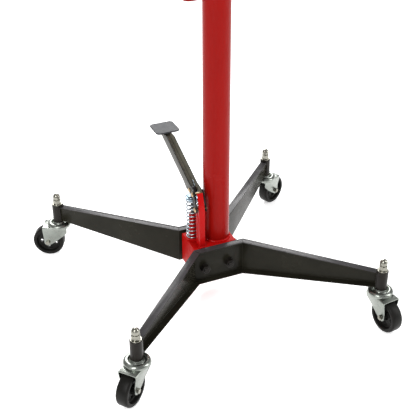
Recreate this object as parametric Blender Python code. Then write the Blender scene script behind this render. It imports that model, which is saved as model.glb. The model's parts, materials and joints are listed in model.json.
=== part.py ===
"""Pedal-pumped telescopic transmission jack on a four-legged base with swivel casters.

Units are metres, +Z is up and z = 0 is the floor. The origin is the middle of the footprint.
+X is to the right and +Y to the rear; the pump, its pedal and the grab handle are left of the column.
Every object is one physical piece. Moving pieces hang under an empty on their joint's axis.
"""

import math

import bmesh
import bpy
from mathutils import Matrix, Vector

# Clearances
GAP = 0.0003                  # between faces that touch on the real jack
PIN_PLAY = 0.0003             # radial play of pins, bolts and shafts in their holes

# Footprint: the leg frames' own centre sits here, so that the whole footprint is centred on the origin
BASE_X = -0.0010
BASE_Y = 0.0170

# Leg frames: a front and a rear one, each a channel that is open outwards, with its web on the inside
SHEET = 0.003                 # wall thickness
LEG_HALF = 0.011              # half the width of the top flange
OVERHANG = 0.002              # top flange past the web's inner face
FOOT_DROP_MIDDLE = 0.0035     # how far the bottom flange falls towards its outer edge
FOOT_DROP_END = 0.003         # the same at the socket
FRAME_Y = 0.067               # centre line of the middle stretch
FRAME_TOP = 0.182
FRAME_BOTTOM = 0.076
LEG_END_TOP = 0.1735          # at the caster socket
LEG_END_BOTTOM = 0.129
BEND_X = 0.07306              # where the centre lines of the middle stretch and of a leg meet
SOCKET_X = 0.363

# Caster sockets and casters
SOCKET_R = 0.0168
SOCKET_Z = (0.1205, 0.180)
STEM_R = 0.006
STEM_TOP = 0.198
WHEEL_R = 0.0485
WHEEL_HALF = 0.017
TRAIL = 0.037                 # wheel axle behind the swivel axis
AXLE_R = 0.0047
FORK_PLATE_Z = (0.102, 0.105)
RACE_Z = (0.111, 0.118)       # floor of the raceway and its rim
SWIVELS = {"front_left": 219, "front_right": 277, "rear_left": 153, "rear_right": 25}
WHEEL_HOLES = 5

# Base block and the two bolts that clamp the leg frames to it
BLOCK_X = (-0.0715, 0.0605)
BLOCK_HALF_Y = 0.048
BLOCK_Z = (0.085, 0.177)
PAD_X = (-0.060, 0.045)
PAD_Z = (0.090, 0.160)
TIE_X = (-0.046, 0.031)
TIE_Z = 0.1155
TIE_R = 0.008
VALVE_R = 0.005
VALVE_Z = 0.133
VALVE_DEPTH = 0.010

# Column and lifting ram
COLUMN_X = 0.0176
COLUMN_R = 0.038
COLUMN_BORE_R = 0.034
COLUMN_TOP = 1.049
CYLINDER_R = 0.026
CYLINDER_BORE_R = 0.0225
RAM_R = 0.018
RAM_Z = (0.209, 1.124)
PLUG_Z = 1.009
PLUG_R = 0.005

# Grab handle: a bent bar on the left of the column
GRAB_R = 0.010
GRAB_REACH = 0.105            # bar centre from the column axis
GRAB_Z = (0.901, 1.003)

# Pump, its bracket and the pedal linkage, all in the plane x = LEVER_X
LEVER_X = -0.046
PUMP_ASIDE = -0.003            # pump axis from the lever's plane
PUMP_Y = 0.015
PUMP_TOP = 0.261
PUMP_FLOOR = 0.193
PUMP_R = 0.0125
PLUNGER_R = 0.006
SPRING_R = 0.0192
SPRING_WIRE_R = 0.0019
SPRING_COILS = 11.5
SPRING_Z = (0.1823, 0.3117)
LINK_PIVOT = Vector((LEVER_X, -0.034, 0.301))
LEVER_PIVOT = Vector((LEVER_X, -0.016, 0.341))
PLUNGER_PIN = Vector((LEVER_X, PUMP_Y, 0.339))
PIN_R = 0.0042
BRACKET_HALF = 0.0085
LEVER_HALF = 0.0125
LEVER_WALL = 0.0027
LINK_X = (0.0128, 0.0160)
ARM_ANGLE = math.radians(22.6)
ARM_DEPTH = 0.028
ARM_TOP = Vector((LEVER_X, 0.0045, 0.3535))   # a point on the walls' top edges
PEDAL_CENTRE = Vector((-0.043, 0.240, 0.4305))
PEDAL_SIZE = (0.074, 0.070, 0.005)

# Saddle on top of the ram
STUB_R = 0.012
TILT_Z = 1.181
SADDLE_SIZE = (0.220, 0.160, 0.006)


# ---------------------------------------------------------------- mesh helpers

def finished(bm):
    """The bmesh as a mesh with outward faces; the bmesh is freed."""
    bmesh.ops.remove_doubles(bm, verts=bm.verts, dist=1e-7)
    bmesh.ops.recalc_face_normals(bm, faces=bm.faces)
    mesh = bpy.data.meshes.new("mesh")
    bm.to_mesh(mesh)
    bm.free()
    return mesh


def moved(mesh, matrix):
    """The same mesh after a transform of its points."""
    mesh.transform(matrix)
    return mesh


def shifted(mesh, x=0.0, y=0.0, z=0.0):
    """The same mesh, shifted."""
    return moved(mesh, Matrix.Translation((x, y, z)))


def turned(profile, sides):
    """A solid of revolution about Z from a closed outline of (radius, height) points."""
    bm = bmesh.new()
    rings = []
    for radius, height in profile:
        if radius == 0:
            rings.append([bm.verts.new((0, 0, height))] * sides)
            continue
        angles = [math.tau * step / sides for step in range(sides)]
        rings.append([bm.verts.new((radius * math.cos(a), radius * math.sin(a), height)) for a in angles])
    for lower, upper in zip(rings, rings[1:] + rings[:1]):
        for side in range(sides):
            following = (side + 1) % sides
            corners = dict.fromkeys((lower[side], lower[following], upper[following], upper[side]))
            if len(corners) > 2:
                bm.faces.new(list(corners))
    return finished(bm)


def rod(radius, low, high, sides=16):
    """A plain cylinder about Z."""
    return turned([(0, low), (radius, low), (radius, high), (0, high)], sides)


def loft(first, last):
    """A solid between two outlines with the same number of 3-D points."""
    bm = bmesh.new()
    start = [bm.verts.new(point) for point in first]
    end = [bm.verts.new(point) for point in last]
    bm.faces.new(start)
    bm.faces.new(list(reversed(end)))
    for index in range(len(start)):
        following = (index + 1) % len(start)
        bm.faces.new((start[index], end[index], end[following], start[following]))
    return finished(bm)


def prism(outline, low, high, along="Z"):
    """An outline extruded along an axis. Its pairs are (x, y), (y, z) or (x, z) for Z, X or Y."""
    place = {
        "X": lambda point, level: (level, point[0], point[1]),
        "Y": lambda point, level: (point[0], level, point[1]),
        "Z": lambda point, level: (point[0], point[1], level),
    }[along]
    return loft([place(point, low) for point in outline], [place(point, high) for point in outline])


def box(x, y, z):
    """A block between two x, two y and two z values."""
    return prism([(x[0], y[0]), (x[1], y[0]), (x[1], y[1]), (x[0], y[1])], z[0], z[1])


def hexagon(across_flats, low, high):
    """A hexagonal prism about Z."""
    return rod(across_flats / math.sqrt(3), low, high, 6)


def arc(centre, radius, start, end, steps):
    """Points on an arc, angles in degrees."""
    angles = [math.radians(start + (end - start) * step / steps) for step in range(steps + 1)]
    return [(centre[0] + radius * math.cos(a), centre[1] + radius * math.sin(a)) for a in angles]


def capsule(first, last, radius_first, radius_last, steps=6):
    """Outline round two circles of nearly the same radius."""
    heading = math.degrees(math.atan2(last[1] - first[1], last[0] - first[0]))
    return (arc(first, radius_first, heading + 90, heading + 270, steps)
            + arc(last, radius_last, heading - 90, heading + 90, steps))


def rounded_rectangle(size_x, size_y, radius, steps=3):
    """Outline of a rectangle with round corners, centred on the origin."""
    x, y = size_x / 2 - radius, size_y / 2 - radius
    corners = (((x, y), 0), ((-x, y), 90), ((-x, -y), 180), ((x, -y), 270))
    return [point for centre, start in corners for point in arc(centre, radius, start, start + 90, steps)]


def swept(path, radius, sides):
    """A round bar along a smooth path of points, with flat ends."""
    bm = bmesh.new()
    rings = []
    normal = Vector((0, 0, 1)).cross(path[1] - path[0])
    if normal.length < 1e-6:
        normal = Vector((1, 0, 0))
    for index, point in enumerate(path):
        before = path[max(index - 1, 0)]
        after = path[min(index + 1, len(path) - 1)]
        tangent = (after - before).normalized()
        normal = (normal - normal.dot(tangent) * tangent).normalized()
        side = tangent.cross(normal)
        angles = [math.tau * step / sides for step in range(sides)]
        rings.append([bm.verts.new(point + radius * (math.cos(a) * normal + math.sin(a) * side)) for a in angles])
    for lower, upper in zip(rings, rings[1:]):
        for step in range(sides):
            following = (step + 1) % sides
            bm.faces.new((lower[step], lower[following], upper[following], upper[step]))
    bm.faces.new(rings[0])
    bm.faces.new(list(reversed(rings[-1])))
    return finished(bm)


def boolean(operation, mesh, *tools):
    """A new mesh: the first one joined with, cut by or limited to each of the others in turn."""
    for tool in tools:
        body = bpy.data.objects.new("boolean_body", mesh)
        other = bpy.data.objects.new("boolean_tool", tool)
        bpy.context.collection.objects.link(body)
        bpy.context.collection.objects.link(other)
        modifier = body.modifiers.new("boolean", "BOOLEAN")
        modifier.operation = operation
        modifier.object = other
        evaluated = body.evaluated_get(bpy.context.evaluated_depsgraph_get())
        mesh = bpy.data.meshes.new_from_object(evaluated)
        bpy.data.objects.remove(body)
        bpy.data.objects.remove(other)
    return mesh


def joined(mesh, *others):
    """Several overlapping solids as one."""
    return boolean("UNION", mesh, *others)


def cut(mesh, *tools):
    """A solid without the space of the tools."""
    return boolean("DIFFERENCE", mesh, *tools)


def about_x(mesh, x=0.0, y=0.0, z=0.0):
    """Lays a shape made about Z along +X, through a point."""
    return shifted(moved(mesh, Matrix.Rotation(math.pi / 2, 4, "Y")), x, y, z)


def about_y(mesh, x=0.0, y=0.0, z=0.0):
    """Lays a shape made about Z along +Y, through a point."""
    return shifted(moved(mesh, Matrix.Rotation(-math.pi / 2, 4, "X")), x, y, z)


# ---------------------------------------------------------------- scene helpers

def material(name, colour, roughness, metallic):
    """A Principled material."""
    made = bpy.data.materials.new(name)
    made.use_nodes = True
    shader = made.node_tree.nodes["Principled BSDF"]
    shader.inputs["Base Color"].default_value = (*colour, 1.0)
    shader.inputs["Roughness"].default_value = roughness
    shader.inputs["Metallic"].default_value = metallic
    return made


def empty(name, location, parent=None, turn=0.0):
    """An empty that carries a group of pieces; location is in the parent's frame."""
    made = bpy.data.objects.new(name, None)
    made.empty_display_size = 0.03
    made.location = location
    made.rotation_euler = (0, 0, turn)
    made.parent = parent
    bpy.context.collection.objects.link(made)
    return made


def piece(name, mesh, finish, parent):
    """One physical piece, shaded smooth with sharp edges above 35 degrees."""
    mesh.materials.clear()
    mesh.materials.append(finish)
    mesh.shade_smooth()
    mesh.set_sharp_from_angle(angle=math.radians(35))
    made = bpy.data.objects.new(name, mesh)
    made.parent = parent
    bpy.context.collection.objects.link(made)
    return made


# ---------------------------------------------------------------- leg frames

def frame_outline():
    """The channel's outline as (outward, level, height above that level)."""
    web = OVERHANG - LEG_HALF
    return [
        (LEG_HALF, "top", 0), (-LEG_HALF, "top", 0), (-LEG_HALF, "top", -SHEET), (web, "top", -SHEET),
        (web, "bottom", 0), (LEG_HALF, "foot", 0), (LEG_HALF, "foot", SHEET), (web + SHEET, "bottom", SHEET),
        (web + SHEET, "top", -SHEET), (LEG_HALF, "top", -SHEET),
    ]


def leg_length():
    """From the bend to the socket's axis, along a leg at 45 degrees."""
    return (SOCKET_X - BEND_X) * math.sqrt(2)


def socket_y():
    return FRAME_Y + SOCKET_X - BEND_X


def level_height(level, distance):
    """Height of the top, the web's bottom or the bottom flange's outer edge at a distance from the bend."""
    share = max(distance, 0.0) / leg_length()
    bottom = FRAME_BOTTOM + (LEG_END_BOTTOM - FRAME_BOTTOM) * share
    return {
        "top": FRAME_TOP + (LEG_END_TOP - FRAME_TOP) * share,
        "bottom": bottom,
        "foot": bottom - FOOT_DROP_MIDDLE + (FOOT_DROP_MIDDLE - FOOT_DROP_END) * share,
    }[level]


def mitre(outward):
    """How far the mitred bend lies along the leg at a distance from its centre line."""
    return outward * math.tan(math.radians(22.5))


def tie_tool(radius, x):
    """A long round tool along Y where a tie bolt passes."""
    return about_y(rod(radius, -0.15, 0.15), x, 0, TIE_Z)


def middle_channel(side):
    """The stretch of a leg frame between its two bends; side is -1 at the front and 1 at the rear."""
    ends = []
    for end in (-1, 1):
        ends.append([
            (end * (BEND_X - mitre(out) - GAP / 2), side * (FRAME_Y + out), level_height(level, 0) + rise)
            for out, level, rise in frame_outline()
        ])
    holes = [tie_tool(TIE_R + PIN_PLAY, x) for x in TIE_X]
    return cut(loft(*ends), *holes)


def leg(side_x, side_y):
    """One leg from its mitred bend to the caster socket that it is welded to."""
    def point(distance, out, level, rise):
        along = distance / math.sqrt(2)
        across = out / math.sqrt(2)
        height = level_height(level, distance) + rise
        return (side_x * (BEND_X + along - across), side_y * (FRAME_Y + along + across), height)

    near = [point(mitre(out) + GAP / 2, out, level, rise) for out, level, rise in frame_outline()]
    far = [point(leg_length(), out, level, rise) for out, level, rise in frame_outline()]
    clearance = shifted(rod(SOCKET_R + GAP, 0.05, 0.20, 20), side_x * SOCKET_X, side_y * socket_y())
    return cut(loft(near, far), clearance)


def build_leg_frames(root, black):
    """Front and rear middle channels, four legs and four sockets."""
    for name, side in (("front", -1), ("rear", 1)):
        piece(f"{name}_channel", middle_channel(side), black, root)
    socket = turned([(STEM_R + 2 * PIN_PLAY, SOCKET_Z[0]), (SOCKET_R, SOCKET_Z[0]), (SOCKET_R, SOCKET_Z[1]),
                     (STEM_R + 2 * PIN_PLAY, SOCKET_Z[1])], 20)
    for corner in SWIVELS:
        side_x, side_y = corner_sides(corner)
        piece(f"leg_{corner}", leg(side_x, side_y), black, root)
        piece(f"socket_{corner}", socket, black, root).location = (side_x * SOCKET_X, side_y * socket_y(), 0)


def corner_sides(corner):
    """-1 or 1 along X and along Y for a corner's name."""
    return (-1 if corner.endswith("left") else 1, -1 if corner.startswith("front") else 1)


# ---------------------------------------------------------------- base block and tie bolts

def build_base_block(root, red, black):
    """The block that carries the column and pump, and the bolts that clamp the leg frames to it."""
    block = box(BLOCK_X, (-BLOCK_HALF_Y, BLOCK_HALF_Y), BLOCK_Z)
    pad_y = FRAME_Y - LEG_HALF + OVERHANG - GAP
    pads = box(PAD_X, (-pad_y, pad_y), PAD_Z)
    holes = [tie_tool(TIE_R + PIN_PLAY, x) for x in TIE_X]
    bottom = BLOCK_X[1] - VALVE_DEPTH - 0.002
    valve_hole = about_x(rod(VALVE_R + PIN_PLAY, bottom, BLOCK_X[1] + 0.01), 0, 0, VALVE_Z)
    made = piece("base_block", cut(joined(block, pads), *holes, valve_hole), red, root)
    bevel = made.modifiers.new("edges", "BEVEL")
    bevel.width = 0.0012
    bevel.segments = 1
    bevel.limit_method = "ANGLE"
    bevel.angle_limit = math.radians(60)

    face = FRAME_Y - LEG_HALF + OVERHANG + SHEET + GAP
    shank_end = -face - 0.0190
    bolt = joined(rod(TIE_R, shank_end, face + 0.002), hexagon(0.024, face, face + 0.010))
    washer = rod(0.0145, 0, 0.002, 20)
    nut = cut(joined(washer, hexagon(0.024, 0.001, 0.0145)), rod(TIE_R + PIN_PLAY, -0.01, 0.03))
    for name, x in zip(("left", "right"), TIE_X):
        piece(f"tie_bolt_{name}", about_y(bolt.copy(), x, 0, TIE_Z), black, root)
        turned_round = moved(nut.copy(), Matrix.Rotation(math.pi, 4, "X"))
        piece(f"tie_nut_{name}", about_y(turned_round, x, -face, TIE_Z), black, root)


def build_release_valve(root, zinc):
    """The valve screw with a round knurled knob on the block's right face."""
    axis = empty("release_valve_axis", (BLOCK_X[1], 0, VALVE_Z), root)
    profile = [(0, -VALVE_DEPTH), (VALVE_R, -VALVE_DEPTH), (VALVE_R, GAP), (0.008, GAP), (0.008, 0.008),
               (0.013, 0.010), (0.013, 0.022), (0.011, 0.025), (0, 0.025)]
    piece("release_valve", about_x(turned(profile, 16)), zinc, axis)


# ---------------------------------------------------------------- casters

def fork_mesh():
    """Pressed fork: a folded plate that narrows to the axle, with the swivel raceway on top."""
    low, high = FORK_PLATE_Z
    knee, shoulder = 0.066, low - 0.004
    outer = [(-0.021, 0.030), (-0.021, knee), (-0.027, shoulder), (-0.024, high),
             (0.024, high), (0.027, shoulder), (0.021, knee), (0.021, 0.030)]
    inner = [(0.018, 0.030), (0.018, knee), (0.0238, shoulder), (0.0225, low),
             (-0.0225, low), (-0.0238, shoulder), (-0.018, knee), (-0.018, 0.030)]
    folded = prism(outer + inner, -0.028, 0.052, "X")
    side = ([(-0.027, high + 0.02), (-0.027, low - 0.008)] + arc((TRAIL, WHEEL_R), 0.0118, 225, 360, 4)
            + [(0.0500, low - 0.008), (0.0485, high + 0.02)])
    plates = boolean("INTERSECT", folded, prism(side, -0.04, 0.04, "Y"))
    floor, rim = RACE_Z
    raceway = turned([(0, low + 0.001), (0.0335, low + 0.001), (0.0362, low + 0.0035), (0.0362, floor),
                      (0.0335, floor + 0.004), (0.028, rim), (0.023, rim - 0.001), (0.023, floor), (0, floor)], 16)
    bore = rod(0.0063 + 2 * PIN_PLAY, 0.08, 0.12, 12)
    axle_hole = about_y(rod(AXLE_R + PIN_PLAY, -0.04, 0.04, 12), TRAIL, 0, WHEEL_R)
    return cut(joined(plates, raceway), bore, axle_hole)


def wheel_mesh():
    """Wheel about its own centre, axle along Y, with round holes through the web."""
    half = WHEEL_HALF
    side = [(0.0052, -half - 0.0005), (0.012, -half - 0.0005), (0.013, -0.005), (0.0345, -0.005),
            (0.0365, -half + 0.0005), (0.0455, -half), (WHEEL_R, 0.005 - half)]
    profile = side + [(radius, -height) for radius, height in reversed(side)]
    wheel = turned(profile, 20)
    holes = []
    for index in range(WHEEL_HOLES):
        angle = math.tau * (index + 0.875) / WHEEL_HOLES
        holes.append(shifted(rod(0.0055, -0.02, 0.02, 8), 0.0240 * math.cos(angle), 0.0240 * math.sin(angle)))
    return about_y(cut(wheel, *holes))


def axle_mesh():
    """Axle bolt about the wheel's centre, along Y, with its head and nut."""
    face = 0.021 + GAP
    return about_y(joined(rod(AXLE_R, -0.0295, 0.0285, 12), hexagon(0.014, -face - 0.0055, -face),
                          hexagon(0.014, face, face + 0.006)))


def stem_mesh():
    """Threaded stem with the upper race above the fork and the rivet head below it."""
    low = FORK_PLATE_Z[0]
    floor = RACE_Z[0]
    top = SOCKET_Z[0] - GAP
    return turned([(0, low - 0.0085), (0.009, low - 0.0085), (0.011, low - 0.006), (0.011, low - GAP),
                   (0.0063, low - GAP), (0.0063, floor + GAP), (0.0222, floor + GAP), (0.0222, floor + 0.003),
                   (0.0165, top), (STEM_R, top), (STEM_R, STEM_TOP), (0, STEM_TOP)], 12)


def stem_nut_mesh():
    """Domed cap nut with its washer on top of the socket."""
    low = SOCKET_Z[1] + GAP
    dome = turned([(0, low), (0.015, low), (0.015, low + 0.002), (0.0112, low + 0.002), (0.0112, low + 0.026),
                   (0.0104, low + 0.030), (0.0080, low + 0.0335), (0.0045, low + 0.0358), (0, low + 0.0366)], 12)
    thread = rod(STEM_R + PIN_PLAY, low - 0.01, STEM_TOP + 0.003, 12)
    return cut(joined(dome, hexagon(0.0245, low + 0.001, low + 0.0165)), thread)


def build_casters(root, zinc, black_rubber):
    """Stem and nut fixed to each socket, fork turning about the stem, wheel turning in the fork."""
    fork, wheel, axle, stem, nut = fork_mesh(), wheel_mesh(), axle_mesh(), stem_mesh(), stem_nut_mesh()
    for corner, heading in SWIVELS.items():
        side_x, side_y = corner_sides(corner)
        place = (side_x * SOCKET_X, side_y * socket_y(), 0)
        piece(f"stem_{corner}", stem, zinc, root).location = place
        piece(f"stem_nut_{corner}", nut, zinc, root).location = place
        swivel = empty(f"swivel_{corner}", place, root, math.radians(heading))
        piece(f"fork_{corner}", fork, zinc, swivel)
        spin = empty(f"spin_{corner}", (TRAIL, 0, WHEEL_R), swivel)
        piece(f"axle_{corner}", axle, zinc, swivel).location = spin.location
        piece(f"wheel_{corner}", wheel, black_rubber, spin)


# ---------------------------------------------------------------- column and ram

def build_column(root, red, zinc, steel):
    """Outer column tube, lift cylinder inside it, gland nut on top and filler plug at the rear."""
    axis = empty("column_axis", (COLUMN_X, 0, 0), root)
    low = BLOCK_Z[1] + GAP
    tube = turned([(COLUMN_BORE_R, low), (COLUMN_R, low), (COLUMN_R, COLUMN_TOP), (COLUMN_BORE_R, COLUMN_TOP)], 32)
    plug_hole = about_y(rod(PLUG_R + PIN_PLAY, 0.02, 0.05), 0, 0, PLUG_Z)
    piece("column_tube", cut(tube, plug_hole), red, axis)

    skirt = COLUMN_TOP - 0.025
    cylinder_top = skirt - GAP
    piece("lift_cylinder", turned([(CYLINDER_BORE_R, low), (CYLINDER_R, low), (CYLINDER_R, cylinder_top),
                                   (CYLINDER_BORE_R, cylinder_top)], 24), steel, axis)
    rest = COLUMN_TOP + GAP
    gland = turned([(RAM_R + PIN_PLAY, skirt), (COLUMN_BORE_R - GAP, skirt), (COLUMN_BORE_R - GAP, rest),
                    (0.041, rest), (0.041, rest + 0.018), (0.038, rest + 0.022), (0.024, rest + 0.024),
                    (RAM_R + PIN_PLAY, rest + 0.024)], 20)
    piece("gland_nut", gland, zinc, axis)
    seat = COLUMN_R + GAP
    plug = turned([(0, 0.030), (PLUG_R, 0.030), (PLUG_R, seat), (0.009, seat), (0.009, seat + 0.003),
                   (0.007, seat + 0.004), (0.007, seat + 0.008), (0, seat + 0.008)], 12)
    piece("filler_plug", about_y(plug, 0, 0, PLUG_Z), zinc, axis)


def build_grab_handle(root, red):
    """Round bar bent into a D, welded to the column at both ends."""
    bend = 0.030
    low, high = GRAB_Z
    corners = (((-GRAB_REACH + bend, low + bend), 270, 180), ((-GRAB_REACH + bend, high - bend), 180, 90))
    path = [(-0.020, low)]
    for centre, start, end in corners:
        path += arc(centre, bend, start, end, 5)
    path.append((-0.020, high))
    bar = swept([Vector((x, 0, z)) for x, z in path], GRAB_R, 10)
    clear = rod(COLUMN_R + GAP, low - 0.05, high + 0.05, 32)
    axis = empty("grab_handle_axis", (COLUMN_X, 0, 0), root)
    piece("grab_handle", cut(bar, clear), red, axis)


def build_ram(root, chrome, rubber):
    """Lifting ram with its piston and seal; its empty slides along the column's axis."""
    slide = empty("ram_slide", (COLUMN_X, 0, 0), root)
    low, high = RAM_Z
    piston_r = CYLINDER_BORE_R - PIN_PLAY
    groove_r = 0.0195
    ram = turned([(0, low), (piston_r, low), (piston_r, low + 0.012), (groove_r, low + 0.012),
                  (groove_r, low + 0.022), (piston_r, low + 0.022), (piston_r, low + 0.034), (RAM_R, low + 0.034),
                  (RAM_R, high), (STUB_R, high), (STUB_R, high + 0.030), (0, high + 0.030)], 20)
    piece("lift_ram", ram, chrome, slide)
    seal = turned([(groove_r + GAP, low + 0.0125), (piston_r, low + 0.0125), (piston_r, low + 0.0215),
                   (groove_r + GAP, low + 0.0215)], 20)
    piece("piston_seal", seal, rubber, slide)
    return slide


def build_saddle(slide, red, zinc):
    """Fork that turns on the ram's stub, its tilt pin and the tray that tilts on the pin."""
    low = RAM_Z[1] + GAP
    swivel = empty("saddle_swivel", (0, 0, low), slide)
    ear_x = (0.0205, 0.0285)
    tilt = TILT_Z - low
    ear = [(-0.014, 0.020), (0.014, 0.020)] + arc((0, tilt), 0.013, 0, 180, 6)
    cup = turned([(0, 0), (0.024, 0), (0.030, 0.006), (0.030, 0.034), (0, 0.034)], 20)
    ears = [prism(ear, side * ear_x[0], side * ear_x[1], "X") for side in (-1, 1)]
    hole = about_x(rod(0.006 + PIN_PLAY, -0.05, 0.05), 0, 0, tilt)
    socket = rod(STUB_R + PIN_PLAY, -0.01, 0.0303, 20)
    piece("saddle_fork", cut(joined(cup, *ears), hole, socket), red, swivel)

    pin = turned([(0, -0.0345), (0.009, -0.0345), (0.009, -0.0290), (0.006, -0.0290), (0.006, 0.033), (0, 0.033)], 16)
    piece("saddle_pin", about_x(pin, 0, 0, tilt), zinc, swivel)

    axis = empty("saddle_tilt", (0, 0, tilt), swivel)
    size_x, size_y, thick = SADDLE_SIZE
    under = 0.018
    lip = 0.022
    plate = prism(rounded_rectangle(size_x, size_y, 0.012), under, under + thick)
    lips = [box((side * size_x / 2 - side * thick, side * size_x / 2), (-0.045, 0.045), (under, under + thick + lip))
            for side in (-1, 1)]
    lug = [(-0.012, under + 0.002), (-0.012, 0)] + arc((0, 0), 0.012, 180, 360, 6) + [(0.012, under + 0.002)]
    lugs = [prism(lug, side * 0.012, side * (ear_x[0] - GAP), "X") for side in (-1, 1)]
    hole = about_x(rod(0.006 + PIN_PLAY, -0.05, 0.05))
    piece("saddle_tray", cut(joined(plate, *lips, *lugs), hole), red, axis)


# ---------------------------------------------------------------- pump and pedal

def build_pump(root, red, zinc, steel):
    """Pump cylinder, plunger, return spring and the cup that the spring pushes on."""
    axis = empty("pump_axis", (LEVER_X + PUMP_ASIDE, PUMP_Y, 0), root)
    low = BLOCK_Z[1] + GAP
    cylinder = turned([(0, low), (0.0216, low), (0.0216, SPRING_Z[0] - GAP), (PUMP_R, SPRING_Z[0] - GAP),
                       (PUMP_R, PUMP_TOP), (PLUNGER_R + 2 * PIN_PLAY, PUMP_TOP), (PLUNGER_R + 2 * PIN_PLAY, PUMP_FLOOR),
                       (0, PUMP_FLOOR)], 16)
    piece("pump_cylinder", cylinder, red, axis)

    plunge = empty("plunger_slide", (0, 0, 0), axis)
    shoulder = SPRING_Z[1] + 0.0053
    tang = [(-0.009, shoulder), (0.009, shoulder)] + arc((0, PLUNGER_PIN.z), 0.009, 0, 180, 6)
    rod_end = rod(PLUNGER_R, PUMP_FLOOR + 0.020, shoulder + 0.004)
    eye = about_x(rod(PIN_R + PIN_PLAY, -0.02, 0.02, 12), 0, 0, PLUNGER_PIN.z)
    flat = prism(tang, -0.0065 - PUMP_ASIDE, 0.0065 - PUMP_ASIDE, "X")
    piece("pump_plunger", cut(joined(rod_end, flat), eye), steel, plunge)
    end = LEVER_HALF + GAP
    pin = turned([(0, -end - 0.0035), (0.0072, -end - 0.0035), (0.0072, -end), (PIN_R, -end), (PIN_R, end),
                  (0.0062, end), (0.0062, end + 0.003), (0, end + 0.003)], 12)
    piece("plunger_pin", about_x(pin, -PUMP_ASIDE, 0, PLUNGER_PIN.z), zinc, plunge)
    cup = turned([(PLUNGER_R + 2 * PIN_PLAY, SPRING_Z[1] + GAP), (0.0219, SPRING_Z[1] + GAP),
                  (0.0219, SPRING_Z[1] + 0.003), (0.0186, SPRING_Z[1] + 0.005),
                  (PLUNGER_R + 2 * PIN_PLAY, SPRING_Z[1] + 0.005)], 16)
    piece("spring_cup", cup, zinc, plunge)
    piece("return_spring", spring_mesh(), zinc, axis)


def spring_mesh():
    """Compression spring: an even helix with closed ends, standing on its lower end."""
    low, high = SPRING_Z[0] + SPRING_WIRE_R, SPRING_Z[1] - SPRING_WIRE_R
    steps_per_turn = 10
    closed = 0.85
    steps = int(SPRING_COILS * steps_per_turn)
    close_rise = 2 * SPRING_WIRE_R + GAP
    path = []
    for step in range(steps + 1):
        turn = step / steps_per_turn
        left = SPRING_COILS - turn
        if turn < closed:
            height = low + close_rise * max(turn - 0.15, 0) / closed
        elif left < closed:
            height = high - close_rise * max(left - 0.15, 0) / closed
        else:
            lead = close_rise * (closed - 0.15) / closed
            share = (turn - closed) / (SPRING_COILS - 2 * closed)
            height = low + lead + (high - low - 2 * lead) * share
        angle = math.tau * turn
        path.append(Vector((SPRING_R * math.cos(angle), SPRING_R * math.sin(angle), height)))
    return swept(path, SPRING_WIRE_R, 5)


def build_bracket(root, red):
    """Upright channel, open to the rear: its flanges hold the link pin, its web leans back over the linkage."""
    low = BLOCK_Z[1] + GAP
    thick = 0.004
    web = [(-0.047, low), (-0.047 + thick, low), (-0.047 + thick, 0.292), (-0.0375, 0.315), (-0.0270, 0.348),
           (-0.0310, 0.350), (-0.0415, 0.317), (-0.047, 0.294)]
    flange = [(-0.046, low), (-0.019, low), (-0.019, 0.289), (-0.023, 0.305), (-0.032, 0.313), (-0.0405, 0.313),
              (-0.046, 0.294)]
    tools = [prism(flange, side * 0.0055, side * BRACKET_HALF, "X") for side in (-1, 1)]
    solid = joined(prism(web, -BRACKET_HALF, BRACKET_HALF, "X"), *tools)
    hole = about_x(rod(PIN_R + PIN_PLAY, -0.02, 0.02, 12), 0, LINK_PIVOT.y, LINK_PIVOT.z)
    made = piece("pump_bracket", cut(solid, hole), red, root)
    made.location.x = LEVER_X


def linkage_pin():
    """Clevis pin along X with a head at the left and a retaining ring at the right."""
    end = LINK_X[1] + GAP
    return about_x(turned([(0, -end - 0.004), (0.0045, -end - 0.004), (0.0072, -end - 0.002), (0.0072, -end),
                           (PIN_R, -end), (PIN_R, end), (0.0062, end), (0.0062, end + 0.003), (0, end + 0.003)], 12))


def build_links(root, black, zinc):
    """Two links that swing on the bracket's pin and carry the lever's pin at their top."""
    swing = empty("link_swing", LINK_PIVOT, root)
    top = LEVER_PIVOT - LINK_PIVOT
    outline = capsule((0, 0), (top.y, top.z), 0.0105, 0.0105)
    holes = [about_x(rod(PIN_R + PIN_PLAY, -0.03, 0.03, 12), 0, y, z) for y, z in ((0, 0), (top.y, top.z))]
    for name, side in (("left", -1), ("right", 1)):
        plate = prism(outline, side * LINK_X[0], side * LINK_X[1], "X")
        piece(f"link_{name}", cut(plate, *holes), black, swing)
    piece("link_pin", linkage_pin(), zinc, swing)
    return empty("pedal_swing", top, swing)


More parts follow.
